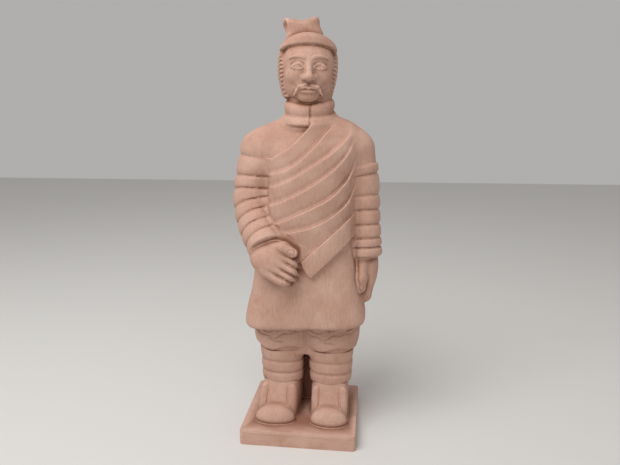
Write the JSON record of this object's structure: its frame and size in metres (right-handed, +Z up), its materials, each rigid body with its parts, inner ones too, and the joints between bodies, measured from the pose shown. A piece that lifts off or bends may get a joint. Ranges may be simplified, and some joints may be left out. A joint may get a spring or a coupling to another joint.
{
  "type": "terracotta warrior statue",
  "caption": "Standing garden figure of an ancient warrior in a draped robe, wrapped legs and topknot cap, cast in one piece with a low rectangular plinth.",
  "frame": {"origin": "centre of the plinth's flat underside", "axes": "+Z up; the figure faces -Y, so its right hand is on the -X side; the plinth's sides run along X and Y"},
  "size_m": [0.3625, 0.258, 0.9981],
  "materials": {
    "terracotta": "matt, faintly brushed terracotta-coloured cast stone with pinholes"
  },
  "bodies": {
    "root": {"warrior_statue": "terracotta"}
  },
  "joints": []
}
